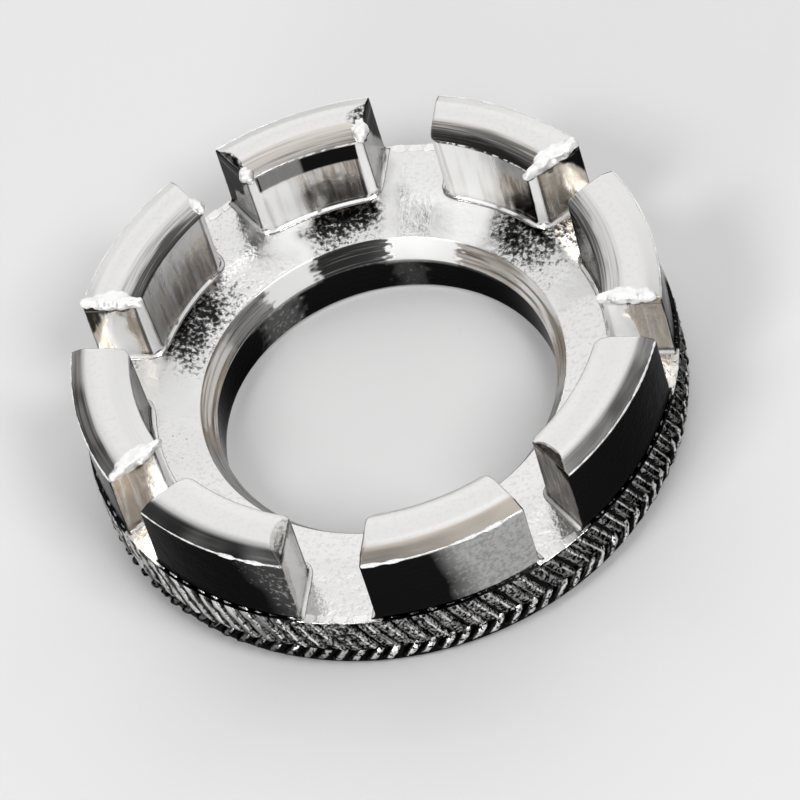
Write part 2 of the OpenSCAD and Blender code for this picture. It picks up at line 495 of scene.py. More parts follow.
# How each end of a jaw was left by the cutting of its slot: its bevel's width and height, how much wider
# the bevel is per millimetre inwards, then the burr's thickness and where it starts and stops along the slot
JawEnd = namedtuple("JawEnd", "bevel_w bevel_h spread burr start stop", defaults=(0.0, 0.0, 0.0, 0.0))
PLAIN_END = JawEnd(0.16, 0.12)
JAW_ENDS = {
    1: (JawEnd(0.22, 0.18, 0.0, 0.53, 14.0, 16.9), PLAIN_END),
    2: (JawEnd(0.22, 0.18, 0.0, 0.58, 13.9, 17.2), PLAIN_END),
    3: (JawEnd(0.25, 0.10, 0.30, 0.52, 14.1, 15.0), JawEnd(0.25, 0.22, 0.10, 0.50, 14.0, 14.6)),
    4: (JawEnd(0.18, 0.14, 0.0, 0.44, 14.2, 14.9), JawEnd(0.22, 0.18, 0.0, 0.55, 14.0, 17.3)),
    5: (PLAIN_END, JawEnd(0.22, 0.18, 0.0, 0.50, 14.0, 17.2)),
    6: (PLAIN_END, JawEnd(0.70, 0.42, 0.05)),
    7: (JawEnd(0.18, 0.14), PLAIN_END),
    8: (JawEnd(0.40, 0.30, 0.05), PLAIN_END),
}

# How dark each jaw is painted, from 0 to 1, for the painted shade and dark reflections on its plating:
# outer bevel, inner bevel, the strip at the inner bevel's edge, and the inner wall at its clockwise end,
# at its counter-clockwise end and under the crown. Then how warm its outer bevel, inner bevel and inner
# wall are.
JawTone = namedtuple(
    "JawTone", "out_bevel in_bevel strip first_wall last_wall brow out_warm in_warm wall_warm")
JAW_TONES = {
    1: JawTone(0.05, 0.30, 0.62, 0.60, 0.40, 0.0, 0.0, 0.1, 0.6),
    2: JawTone(0.00, 0.62, 0.86, 0.50, 0.00, 0.0, 0.0, 0.4, 0.9),
    3: JawTone(0.00, 0.30, 0.30, 0.32, 0.00, 1.1, 0.0, 0.5, 1.0),
    4: JawTone(0.00, 0.36, 0.76, 0.28, 0.22, 0.0, 0.0, 0.1, 1.3),
    5: JawTone(0.50, 0.05, 0.05, 0.50, 0.50, 0.0, 0.2, 0.0, 0.7),
    6: JawTone(0.78, 0.00, 0.00, 0.50, 0.50, 0.0, 0.0, 0.0, 0.4),
    7: JawTone(0.28, 0.00, 0.00, 0.50, 0.50, 0.0, 0.8, 0.0, 0.4),
    8: JawTone(0.55, 0.00, 0.00, 0.50, 0.50, 0.0, 0.1, 0.0, 0.4),
}

# The slot faces at each jaw's two ends: how dark they are painted, for painted shade, where their black
# outer top, a painted shadow, starts (the share of the way out plus the share of the way up), how much
# white, painted highlight, they show, where along the slot it lies and how wide it is, and how warm the
# rest is (from 0, plain, over 1, tan, to 2, brown)
FaceTone = namedtuple("FaceTone", "dark black white place width warm")
PLAIN_FACE = FaceTone(0.25, 1.60, 0.3, 0.5, 0.30, 0.4)
FACE_TONES = {
    1: (FaceTone(0.00, 2.20, 1.0, 0.00, 0.46, 1.25), PLAIN_FACE),
    2: (FaceTone(0.04, 1.40, 0.0, 0.00, 0.00, 1.4), PLAIN_FACE),
    3: (FaceTone(0.22, 1.05, 0.2, 0.30, 0.30, 0.4), FaceTone(0.30, 0.92, 0.2, 0.30, 0.30, 0.5)),
    4: (PLAIN_FACE, FaceTone(0.10, 1.34, 1.0, 0.52, 0.17, 1.6)),
    5: (PLAIN_FACE, FaceTone(0.08, 2.20, 0.4, 0.12, 0.16, 1.5)),
    6: (PLAIN_FACE, FaceTone(0.00, 2.20, 0.7, 0.50, 0.30, 0.3)),
    7: (PLAIN_FACE, PLAIN_FACE),
    8: (FaceTone(0.42, 1.60, 0.0, 0.00, 0.00, 1.2), PLAIN_FACE),
}

# How the painted light and shade lie on each jaw. The shares along it between which its dark outer wall
# brightens with painted lighter reflections, and by how much, and the shares between which its inner
# wall's painted tone turns. How dark (painted shade), warm and upright its chipped corner looks, and how
# black the painted shadow on a slot face's top is. How far the painted dark breaks up on its inner wall,
# slot faces, outer wall, outer bevel and chipped corner. Whether painted bright dots, glints, run along
# the top of its inner wall.
JawLightPaint = namedtuple("JawLightPaint", (
    "worn_from worn_to worn_by wall_turn chip_dark chip_warm chip_upright face_black "
    "break_wall break_face break_outer break_bevel break_chip dotted"))
PLAIN_LIGHT_PAINT = JawLightPaint(0.0, 1.0, 0.25, (0.26, 0.62), 0.0, 0.0, 1.0, 1.15, 0.2, 0.4, 0.55, 0.15, 0.05, False)
JAW_LIGHT_PAINT = {
    2: {"break_wall": 0.35, "dotted": True},
    3: {"wall_turn": (0.46, 0.66), "chip_dark": 0.55, "chip_upright": 0.0, "break_wall": 0.7,
        "break_chip": 0.95, "dotted": True},
    4: {"face_black": 0.8, "break_wall": 0.4, "break_face": 0.7},
    5: {"break_bevel": 0.45},
    6: {"worn_from": 0.44, "worn_to": 0.84, "worn_by": 0.40, "chip_dark": 0.30, "chip_warm": 0.25},
    7: {"worn_from": 0.34, "worn_to": 0.66, "worn_by": 0.78, "break_outer": 0.20},
    8: {"worn_from": 0.5, "worn_to": 0.8, "worn_by": 0.0, "chip_dark": 0.45, "chip_warm": 1.0},
}

# The crown is ground this far under its nominal height, so that its roundings stay inside it. Its inner
# bevel has a little step, at these shares of its width and height. Its bevels' edges are this round.
CROWN_CUT = 0.008
STEP_W, STEP_H = 0.62, 0.42
OUT_ROUND, IN_ROUND, END_ROUND = 0.15, 0.12, 0.08
# The cast foot: the share of its fillet that shows past the walls, and how far it reaches into the ring
FOOT_REACH, FOOT_ROOT = 0.86, 0.25


def jaw_ends(points, jaw, jaws):
    """For each end of a jaw: how far points lie along its slot and past its wall, its upright corner
    bevel as a distance, what JAW_ENDS and FACE_TONES say of it, and a seed."""
    for end, side in enumerate((1, -1)):
        slot = jaw - 1 + end
        half = jaws.slot_widths[slot % SLOTS] / 2
        a = slot * SLOT_STEP
        along = points[..., 0] * math.cos(a) + points[..., 1] * math.sin(a)
        past = side * (points[..., 1] * math.cos(a) - points[..., 0] * math.sin(a)) - half
        corner = math.sqrt((jaws.out_r - jaws.thickness) ** 2 - half ** 2)
        bevel = -(along - corner + past - jaws.corner_bevel) / math.sqrt(2)
        yield along, past, bevel, JAW_ENDS[jaw][end], FACE_TONES[jaw][end], 100 * jaw + 10 * end


def end_bevel(r, z, past, shape, jaws, crown_z):
    """Distance to the bevel along the top of a slot face."""
    width = shape.bevel_w + shape.spread * (jaws.out_r - r)
    return ((z - crown_z + shape.bevel_h) * width - past * shape.bevel_h) / np.hypot(width, shape.bevel_h)


def crown_radii(ring, jaws):
    """Radii at the top of a jaw's inner and outer wall, and at the inner and outer edge of its flat."""
    lean = (jaws.crown_z - ring.height) * math.tan(jaws.draft)
    in_top, out_top = jaws.out_r - jaws.thickness + lean, jaws.out_r - lean
    return in_top, out_top, in_top + jaws.in_bevel_w, out_top - jaws.out_bevel_w


def burr(points, along, past, shape, jaws, seed):
    """Distance to the lumpy roll of metal along a slot's top edge."""
    crown_z = jaws.crown_z - CROWN_CUT
    x = np.clip(along, shape.start, shape.stop)
    lumps = 1 + 0.40 * grain(points, 0.6, seed) + 0.26 * grain(points, 0.26, seed + 1)
    ends = 0.60 + 0.40 * np.sin((x - shape.start) / (shape.stop - shape.start) * math.pi)
    drop = crown_z - 0.66 * shape.burr
    away = np.sqrt((along - x) ** 2 + ((past - 0.05) / 0.8) ** 2 + (points[..., 2] - drop) ** 2)
    return np.maximum((away - shape.burr * lumps * ends) * 0.8, points[..., 2] - crown_z)


def jaw_distance(points, jaw, ring, jaws):
    """Distance to one jaw and its cast foot; negative inside."""
    r, z = np.hypot(points[..., 0], points[..., 1]), points[..., 2]
    lean = (z - ring.height) * math.tan(jaws.draft)
    in_top, out_top, flat_in, flat_out = crown_radii(ring, jaws)
    crown_z = jaws.crown_z - CROWN_CUT
    step_r, step_z = flat_in - STEP_W * jaws.in_bevel_w, crown_z - STEP_H * jaws.in_bevel_h

    crown = round_meet(z - crown_z, -under_line(
        -r, -z, -out_top, -(crown_z - jaws.out_bevel_h), -flat_out, -crown_z), OUT_ROUND)
    crown = round_meet(crown, under_line(r, z, step_r, step_z, flat_in, crown_z), IN_ROUND)
    crown = round_meet(
        crown, under_line(r, z, in_top, crown_z - jaws.in_bevel_h - 0.05, step_r, step_z), IN_ROUND)
    walls = np.maximum(r - jaws.out_r + lean, jaws.out_r - jaws.thickness + lean - r)
    solid = round_meet(walls, crown, jaws.edge_round)
    for along, past, corner, shape, _, seed in jaw_ends(points, jaw, jaws):
        solid = round_meet(solid, -past, jaws.edge_round)
        solid = round_meet(solid, end_bevel(r, z, past, shape, jaws, crown_z), END_ROUND)
        solid = round_meet(solid, corner, jaws.edge_round)
        if shape.burr:
            solid = round_join(solid, burr(points, along, past, shape, jaws, seed), 0.06)
    solid = solid - 0.006 * grain(points, 0.5, 40 + jaw) * (z < crown_z - 0.3)
    floor = round_join(solid, z - ring.height, jaws.foot_fillet)
    floor = np.maximum(floor, solid - FOOT_REACH * jaws.foot_fillet)
    floor = np.maximum(floor, ring.height - FOOT_ROOT - z)
    return np.maximum(floor, r - jaws.out_r + lean - 0.02)


def wall_look(points, rise, part, drift, tone, light_paint, seed):
    """How dark and how white an inner wall is painted, for its painted reflections, and where its brow, a
    painted shade band, lies under the crown.
    """
    upright_lines = grain(points * (1, 1, 0.1), 0.30, seed)
    turned_by = ramp(part + 0.06 * drift + 0.05 * upright_lines, *light_paint.wall_turn)
    wall = tone.first_wall + (tone.last_wall - tone.first_wall) * turned_by
    brow = ramp(rise, 0.64, 0.68) * ramp(part, 0.84, 0.81)
    wall = np.maximum(wall, tone.brow * brow * (0.58 + 0.42 * ramp(part, 0.56, 0.53)))
    white = ramp(wall, 0.42, 0.0) * ramp(rise, 1.0, 0.86)
    return wall, white * (0.75 + 0.25 * ramp(upright_lines, -0.4, 0.1)), brow


def face_look(points, outward, rise, face, light_paint, seed):
    """How dark, for painted shade, white, for painted highlight, and warm a slot face is, at a share of the
    way out and a share of the way up.
    """
    upper = ramp(outward + rise + 0.12 * grain(points, 0.8, seed), face.black - 0.05, face.black + 0.07)
    middle = np.abs(outward - face.place) + 0.10 * rise + 0.14 * grain(points, 0.9, seed + 1)
    middle = ramp(middle, face.width + 0.10, face.width - 0.08) * (face.width > 0)
    pale = np.maximum(face.white * middle, 0.3 * min(face.warm, 2 - face.warm)) * (1 - upper)
    return np.maximum(face.dark * (1 - middle), light_paint.face_black * upper), pale, face.warm * (1 - middle)


def burr_look(points, lumps, shape, jaws, seed):
    """Where a burr's roll gets its painted highlight and where the painted shade below it is, given the
    distance to its lumps, and how far points are above the little ledge, painted as a shade line over a
    highlight line, that its root leaves across the top of the slot face."""
    z = points[:, 2]
    reach = 0.02 + 0.14 * ramp(z, jaws.crown_z - 0.2, jaws.crown_z - 0.1)
    roll = ramp(lumps + 0.08 * grain(points, 0.5, seed + 3), reach + 0.04, reach)
    roll = roll * (0.62 + 0.38 * ramp(grain(points, 0.28, seed + 5), -0.35, 0.0))
    low = jaws.crown_z - 1.05 * shape.burr + 0.10 * grain(points, 0.6, seed + 4)
    below = ramp(z, low + 0.08, low - 0.04) * ramp(lumps, 0.10, 0.04)
    return roll, below, z - jaws.crown_z + 1.75 * shape.burr + 0.05 * grain(points, 0.5, seed + 6)


def jaw_look(points, jaw, ring, jaws):
    """How the plating of a jaw, with its painted shade, highlights and reflections, looks at points: see
    LOOKS.
    """
    r, z = np.hypot(points[:, 0], points[:, 1]), points[:, 2]
    part = np.arctan2(points[:, 1], points[:, 0]) % math.tau / SLOT_STEP - (jaw - 1)
    tone = JAW_TONES[jaw]
    light_paint = PLAIN_LIGHT_PAINT._replace(**JAW_LIGHT_PAINT.get(jaw, {}))
    lean = (z - ring.height) * math.tan(jaws.draft)
    in_r, out_r = jaws.out_r - jaws.thickness + lean, jaws.out_r - lean
    _, _, flat_in, flat_out = crown_radii(ring, jaws)
    rise = (z - ring.height) / (jaws.crown_z - ring.height)

    on_top = ramp(z, jaws.crown_z - 0.56, jaws.crown_z - 0.50)
    in_slope = on_top * ramp(r, flat_in + 0.05, flat_in - 0.10)
    out_slope = on_top * ramp(r, flat_out - 0.04, flat_out + 0.04)
    inner = (1 - on_top) * ramp(r, in_r + 0.10, in_r + 0.04) * ramp(rise, 0.0, 0.05)
    outer = (1 - on_top) * ramp(r, out_r - 0.10, out_r - 0.04)

    # Painted shade on the bevels, then the inner wall's painted reflections with its brow, a painted shade
    # band under the crown, then the painted lighter reflections on the dark outer wall
    depth = np.clip((flat_in - r) / jaws.in_bevel_w, 0, 1)
    drift = grain(points, 1.3, 20 + jaw)
    at_edge = ramp(depth + 0.15 * drift + 0.35 * part, 0.72, 0.88)
    edge_tone = tone.out_bevel * (1 + 0.35 * drift) * ramp(r, flat_out - 0.04, flat_out + 0.25)
    dark = np.maximum(
        in_slope * ramp(depth, 0.0, 0.25) * (tone.in_bevel + (tone.strip - tone.in_bevel) * at_edge),
        out_slope * edge_tone)
    wall, white, brow = wall_look(points, rise, part, drift, tone, light_paint, 80 + jaw)
    dark, white = np.maximum(dark, inner * wall), inner * white
    warm = np.maximum.reduce([
        in_slope * tone.in_warm, out_slope * tone.out_warm, inner * tone.wall_warm * (1 - 0.8 * brow)])
    painted_light = ramp(part + 0.04 * drift + 0.08 * rise, light_paint.worn_from, light_paint.worn_to) ** 2 * light_paint.worn_by
    # The outer wall is painted dark for its dark reflection, and lighter along the jaw for painted lighter
    # reflections
    dark = np.maximum(dark, outer * (1.22 - painted_light))

    bright, faces, chipped = np.zeros((3, len(points)))
    upright = ramp(z, jaws.crown_z - 0.4, jaws.crown_z - 0.6)
    upright = upright * ramp(z, ring.height + 0.1, ring.height + 0.2)
    for along, past, corner, shape, face, seed in jaw_ends(points, jaw, jaws):
        on_face = ramp(past, 0.10, 0.05) * ramp(rise, 0.0, 0.05) * (1 - outer)
        face_top = jaws.crown_z - shape.bevel_h
        on_face = on_face * ramp(z, face_top + 0.02, face_top - 0.04)
        outward = np.clip((along - in_r) / jaws.thickness, 0, 1)
        seen = face_look(points, outward, rise, face, light_paint, seed)
        dark, white, warm = (
            old * (1 - on_face) + on_face * new for old, new in zip((dark, white, warm), seen))
        faces = np.maximum(faces, on_face)
        if shape.spread:
            bevel = np.abs(end_bevel(r, z, past, shape, jaws, jaws.crown_z))
            chipped = np.maximum(chipped, ramp(bevel, 0.07, 0.03) * ramp(past, 1.2, 1.0) * (1 - on_face))
        # Painted shade lines beside each upright corner bevel, and a painted highlight on the bevel
        beside = window(np.abs(corner), 0.06, 0.15, 0.02) * ramp(past, 0.9, 0.7)
        dark = np.maximum(dark, upright * beside)
        bright = np.maximum(bright, ramp(np.abs(corner), 0.04, 0.02) * upright)
        if shape.burr:
            lumps = burr(points, along, past, shape, jaws, seed)
            roll, below, ledge = burr_look(points, lumps, shape, jaws, seed)
            # Painted highlight on the burr's roll, painted shade below it, and the painted ledge: a shade
            # line with a highlight line under it
            bright = np.maximum(bright, roll) * (1 - below)
            dark = np.maximum(dark, 0.95 * below)
            dark = np.maximum(dark, 0.65 * on_face * window(ledge, -0.04, 0.02, 0.03))
            white = np.maximum(white, 0.45 * on_face * window(ledge, -0.15, -0.10, 0.03))
    # Painted shade and a warm tint on the chipped corners
    dark = np.maximum(dark, chipped * light_paint.chip_dark)
    warm = np.maximum(warm, chipped * light_paint.chip_warm)

    # Painted glints: bright dots along the top of some inner walls
    if light_paint.dotted:
        dots = window(z, jaws.crown_z - 0.50, jaws.crown_z - 0.44, 0.02) * ramp(r, in_r + 0.25, in_r + 0.15)
        bright = np.maximum(bright, dots * ramp(grain(points, 0.2, 70 + jaw), 0.0, 0.2))
    white = white * (1 - in_slope) * (1 - out_slope)

    # A painted highlight runs round the foot as a broken bright line, with a painted shade line above it
    foot = (1 - outer) * ramp(grain(points, 0.7, 60 + jaw), -0.45, -0.05)
    bright = np.maximum(bright, foot * window(z - ring.height, 0.03, 0.13, 0.02))
    dark = np.maximum(dark, 0.8 * foot * window(z - ring.height, 0.17, 0.30, 0.02))
    return {
        "dark": dark * (1 - bright),
        "warm": warm * (1 - bright),
        "bare_metal": np.maximum(bright, white),
        "turned": on_top * (1 - bright) * (1 - chipped),
        "upright": np.maximum.reduce([inner, faces, chipped * light_paint.chip_upright]) * (1 - bright),
        "broken": np.maximum.reduce([
            inner * (1 - brow) * light_paint.break_wall, faces * light_paint.break_face, 0.45 * in_slope,
            outer * light_paint.break_outer, out_slope * light_paint.break_bevel, chipped * light_paint.break_chip]),
    }


def uneven_steps(*stops):
    """Points from stop to stop: each stop is a position and the step that is taken after it."""
    out = []
    for (a, step), (b, _) in zip(stops, stops[1:]):
        n = max(1, round((b - a) / step))
        out += list(a + (b - a) * np.arange(n) / n)
    return np.array(out + [stops[-1][0]])


def build_jaw(jaw, ring, jaws, material):
    """One jaw: the skin round its distance, on a grid that follows its two slots, then drawn tight."""
    in_r, out_r, top = jaws.out_r - jaws.thickness, jaws.out_r, jaws.crown_z
    widths = jaws.slot_widths[jaw - 1], jaws.slot_widths[jaw % SLOTS]
    length = SLOT_STEP * (in_r + out_r) / 2 - sum(widths) / 2
    across = uneven_steps((-0.65, 0.07), (0.9, 0.11), (length - 0.9, 0.07), (length + 0.65, 0.07)) / length
    radial = uneven_steps((in_r - 0.6, 0.07), (in_r + 0.3, 0.1), (out_r - 0.4, 0.06), (out_r + 0.15, 0.06))
    height = uneven_steps(
        (ring.height - 0.35, 0.08), (ring.height + 0.5, 0.14), (top - 1.1, 0.06), (top + 0.06, 0.06))
    r, u, z = np.meshgrid(radial, across, height, indexing="ij")
    first, last = jaw_turns(jaw, r, jaws)
    turn = first + (last - first) * u
    points = np.stack([r * np.cos(turn), r * np.sin(turn), z], axis=-1)
    corners, faces = wrap_cells(points, jaw_distance(points, jaw, ring, jaws))
    probe, longest_move, least_slope = 0.01, 0.04, 0.3
    for _ in range(2):
        here = jaw_distance(corners, jaw, ring, jaws)
        slope = np.stack([
            (jaw_distance(corners + step, jaw, ring, jaws) - jaw_distance(corners - step, jaw, ring, jaws))
            / (2 * probe) for step in np.eye(3) * probe], axis=-1)
        move = slope * (here / np.maximum((slope ** 2).sum(axis=-1), least_slope))[:, None]
        far = np.maximum(np.linalg.norm(move, axis=-1) / longest_move, 1)
        corners = corners - move / far[:, None]
    corners[:, 2] = np.minimum(corners[:, 2], top)
    return make_piece(f"jaw_{jaw}_casting", corners, faces, material, jaw_look(corners, jaw, ring, jaws))


# Node building

class Value:
    """A node's output, which can stand in a sum with numbers and with other outputs."""

    def __init__(self, bench, socket):
        self.bench = bench
        self.socket = socket

    def __add__(self, other):
        return self.bench.math("ADD", self, other)

    def __sub__(self, other):
        return self.bench.math("SUBTRACT", self, other)

    def __rsub__(self, other):
        return self.bench.math("SUBTRACT", other, self)

    def __mul__(self, other):
        return self.bench.math("MULTIPLY", self, other)

    def __truediv__(self, other):
        return self.bench.math("DIVIDE", self, other)

    def __rtruediv__(self, other):
        return self.bench.math("DIVIDE", other, self)

    def __pow__(self, other):
        return self.bench.math("POWER", self, other)

    def least(self, other):
        return self.bench.math("MINIMUM", self, other)

    def most(self, other):
        return self.bench.math("MAXIMUM", self, other)

    def step(self, start, end):
        """Smooth step of the value, from 0 at start to 1 at end."""
        return self.bench.value("ShaderNodeMapRange", {
            "Value": self, "From Min": start, "From Max": end}, "Result", interpolation_type="SMOOTHSTEP")

    def step_round(self, start, end):
        """Smooth step of an angle, between two given in degrees."""
        return self.step(math.radians(start), math.radians(end))

    def blend(self, a, b):
        """Mix of two numbers, by this value."""
        return self.bench.value("ShaderNodeMix", {0: self, 2: a, 3: b})

    def tint(self, a, b):
        """Mix of two colours, by this value."""
        return self.bench.value("ShaderNodeMix", {0: self, 6: a, 7: b}, 2, data_type="RGBA")


class NodeBench:
    """Adds and links nodes in a tree, from left to right."""

    def __init__(self, tree):
        self.tree = tree
        self.made = 0

    def put(self, node, inputs):
        """Links each value to the node's input of that name or number, or sets the input to it."""
        for name, value in inputs.items():
            if isinstance(value, Value):
                self.tree.links.new(value.socket, node.inputs[name])
            else:
                node.inputs[name].default_value = value

    def add(self, kind, inputs=None, **settings):
        node = self.tree.nodes.new(kind)
        node.location = (self.made % 12 * 200, -(self.made // 12) * 300)
        self.made += 1
        for name, value in settings.items():
            setattr(node, name, value)
        self.put(node, inputs or {})
        return node

    def value(self, kind, inputs=None, output=0, **settings):
        """One output of a new node."""
        return Value(self, self.add(kind, inputs, **settings).outputs[output])

    def values(self, kind, inputs=None, **settings):
        """All outputs of a new node, by name."""
        return {s.name: Value(self, s) for s in self.add(kind, inputs, **settings).outputs}

    def math(self, operation, a, b=0.0, clamp=False):
        return self.value("ShaderNodeMath", {0: a, 1: b}, operation=operation, use_clamp=clamp)

    def vector(self, operation, a, b=None, output=0):
        """A sum on vectors, where b is a vector, a scale or left out."""
        second = "Scale" if operation == "SCALE" else 1
        inputs = {0: a} if b is None else {0: a, second: b}
        return self.value("ShaderNodeVectorMath", inputs, output, operation=operation)

    def join(self, x, y, z):
        return self.value("ShaderNodeCombineXYZ", {0: x, 1: y, 2: z})

    def split(self, vector):
        return [Value(self, s) for s in self.add("ShaderNodeSeparateXYZ", {0: vector}).outputs]

    def noise(self, vector, scale, detail):
        return self.value(
            "ShaderNodeTexNoise", {"Vector": vector, "Scale": scale, "Detail": detail}, "Fac")

    def bump(self, height):
        """Normal of a surface whose height is in millimetres."""
        return self.value("ShaderNodeBump", {"Strength": 1.0, "Distance": MM, "Height": height})


def new_group(name, inputs, outputs, kind="ShaderNodeTree"):
    """A node group's tree and bench, and its inputs as values. Sockets go by name, a float if no kind is
    given."""
    tree = bpy.data.node_groups.new(name, kind)
    for label, default in inputs.items():
        socket = default if isinstance(default, str) else "NodeSocketFloat"
        made = tree.interface.new_socket(name=label, in_out="INPUT", socket_type=socket)
        if made.socket_type == "NodeSocketFloat":
            made.default_value = default
    for label, socket in outputs.items():
        tree.interface.new_socket(name=label, in_out="OUTPUT", socket_type=socket)
    bench = NodeBench(tree)
    return tree, bench, bench.values("NodeGroupInput")


# Shared effects

def zones_group():
    """Where a point is on the wrench: its radius and height in millimetres, and its turn from slot 1."""
    tree, bench, given = new_group("Wrench zones", {"Vector": "NodeSocketVector"}, {
        "Radius": "NodeSocketFloat", "Height": "NodeSocketFloat", "Turn": "NodeSocketFloat",
        "Millimetres": "NodeSocketVector"})
    scaled = bench.vector("SCALE", given["Vector"], 1 / MM)
    x, y, z = bench.split(scaled)
    radius = bench.vector("LENGTH", bench.join(x, y, 0.0), output="Value")
    turn = bench.math("FLOORED_MODULO", bench.math("ARCTAN2", y, x), math.tau)
    bench.add("NodeGroupOutput", {"Radius": radius, "Height": z, "Turn": turn, "Millimetres": scaled})
    return tree


def skin_group():
    """The pebbled skin of the casting: its height in millimetres, its pits and its speckle."""
    tree, bench, given = new_group(
        "Cast skin", {"Vector": "NodeSocketVector", "Pebble": 0.3, "Depth": 0.02},
        {"Height": "NodeSocketFloat", "Pits": "NodeSocketFloat", "Speckle": "NodeSocketFloat"})
    scale = 1.0 / given["Pebble"]
    coarse = bench.noise(given["Vector"], scale, 1.0)
    fine = bench.noise(given["Vector"], scale * 2.7, 1.0)
    both = coarse * 0.76 + fine * 0.24
    bench.add("NodeGroupOutput", {
        "Height": both * given["Depth"], "Pits": both.step(0.52, 0.38), "Speckle": both})
    return tree


def turned_group():
    """Fine rings that a turning tool leaves, from 0 to 1, which come and go round the wrench."""
    tree, bench, given = new_group(
        "Turned rings", {"Radius": 0.0, "Height": 0.0, "Turn": 0.0, "Pitch": 0.1},
        {"Rings": "NodeSocketFloat"})
    across = (given["Radius"] + given["Height"] * 0.6) / given["Pitch"]
    turn = given["Turn"]
    way = bench.join(across, bench.math("COSINE", turn) * 3.0, bench.math("SINE", turn) * 3.0)
    bench.add("NodeGroupOutput", {"Rings": bench.noise(way, 1.0, 2.0)})
    return tree


def start_material(name, groups):
    """A new material: its bench, its shader, and the wrench's zones read from Object coordinates."""
    material = bpy.data.materials.new(name)
    material.use_nodes = True
    material.node_tree.nodes.clear()
    bench = NodeBench(material.node_tree)
    shader = bench.add("ShaderNodeBsdfPrincipled", {"Specular Tint": (0.5, 0.5, 0.5, 1.0)})
    bench.add("ShaderNodeOutputMaterial", {0: Value(bench, shader.outputs[0])})
    return bench, shader, use_group(
        bench, groups["zones"], Vector=bench.value("ShaderNodeTexCoord", output="Object"))


def use_group(bench, tree, **inputs):
    """All outputs of a shared effect, by name."""
    return bench.values("ShaderNodeGroup", inputs, node_tree=tree)


def read_looks(bench, names):
    """The pieces' own attributes of those names."""
    return (bench.value("ShaderNodeAttribute", output="Fac", attribute_name=name) for name in names)


def opaque(colour):
    return (*colour, 1.0)


# Materials

HIGHLIGHT_WHITE = (0.96, 0.96, 0.95, 1.0)
GRIP_HIGHLIGHT = (0.92, 0.91, 0.90, 1.0)
FLASH_METAL_HIGHLIGHT = (0.97, 0.97, 0.96, 1.0)


def casting_material(finish, groups):
    """Bright plating. The pieces' own attributes say where it is painted dark, for painted shade and dark
    reflections, where it is warm, where it is painted white, for painted highlights and reflections, and
    where it is turned or upright.
    """
    bench, shader, zones = start_material("Plated casting", groups)
    place = zones["Millimetres"]
    dark, warm, highlight_paint, turned, upright, broken = read_looks(bench, LOOKS)
    skin = use_group(bench, groups["skin"], Vector=place, Pebble=0.27, Depth=0.024)
    rings = use_group(bench, groups["turned"], Radius=zones["Radius"], Height=zones["Height"],
                      Turn=zones["Turn"], Pitch=0.11)["Rings"]
    streak = bench.noise(bench.vector("MULTIPLY", place, (4.0, 4.0, 0.5)), 1.0, 3.0)

    # The painted dark, for shade and dark reflections, breaks up into specks on cast faces, streaks on
    # upright ones and rings on turned ones
    specks = turned.blend(upright.blend(skin["Speckle"], streak), rings)
    broken_dark = (dark + (specks - 0.5) * 2.0).step(0.20, 0.80)
    depth = (broken * dark.step(0.0, 0.12)).blend(dark, broken_dark)
    depth = depth.most(skin["Speckle"].step(0.50, 0.34) * turned.blend(0.12, 0.05))
    tan = warm * turned.blend(specks.step(0.30, 0.55), 0.9)
    brown_from = upright.blend(1.0, streak.step(0.36, 0.56).blend(1.8, 0.9))
    brown = bench.math("SUBTRACT", warm, brown_from, clamp=True)
    colour = tan.tint(opaque(finish.plating), opaque(finish.tan_plating))
    colour = brown.tint(colour, opaque(finish.brown_plating))
    colour = depth.tint(colour, opaque(finish.painted_shade_colour))
    # Painted highlights and reflections are white and only partly metallic, so that they stay white under
    # any light
    colour = highlight_paint.tint(colour, HIGHLIGHT_WHITE)

    rough = turned.blend(upright.blend(0.20, 0.15), 0.30)
    rough = (dark * (1.0 - turned)).blend(rough, 0.12)
    cast = skin["Height"] * (1.0 - turned.most(upright * 0.7))
    bench.put(shader, {
        "Base Color": colour, "Metallic": highlight_paint.blend(1.0, 0.30), "Roughness": highlight_paint.blend(rough, 0.45),
        "Normal": bench.bump(cast + rings * 0.0016 * turned)})


